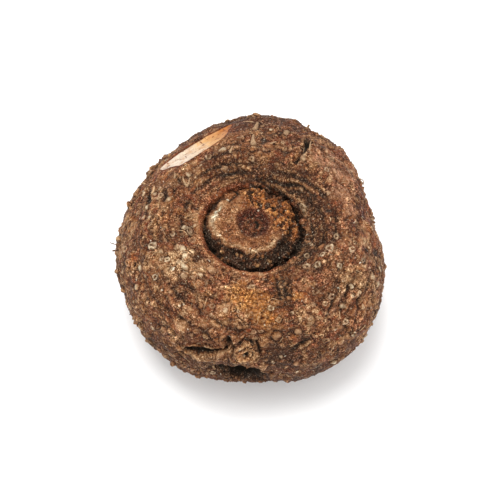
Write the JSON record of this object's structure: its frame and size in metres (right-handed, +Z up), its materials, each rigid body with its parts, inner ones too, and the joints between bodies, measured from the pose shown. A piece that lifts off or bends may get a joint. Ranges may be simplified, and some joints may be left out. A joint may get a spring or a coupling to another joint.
{
  "type": "elephant foot yam corm",
  "caption": "Flattened globe-shaped corm with rough warty skin, a sunken ring-shaped stalk scar on top, a shallow slice on one shoulder and a flat base to rest on.",
  "frame": {"origin": "middle of the flat base, under the middle of the bounding box", "axes": "+Z up out of the stalk scar, +Y towards the shoulder with the slice, -Y towards the side with the offset bud"},
  "size_m": [0.2184, 0.232, 0.1239],
  "materials": {
    "skin": "rough corky brown skin with paler warts and a fresh cream slice on one shoulder"
  },
  "bodies": {
    "root": {"corm": "skin"}
  },
  "joints": []
}
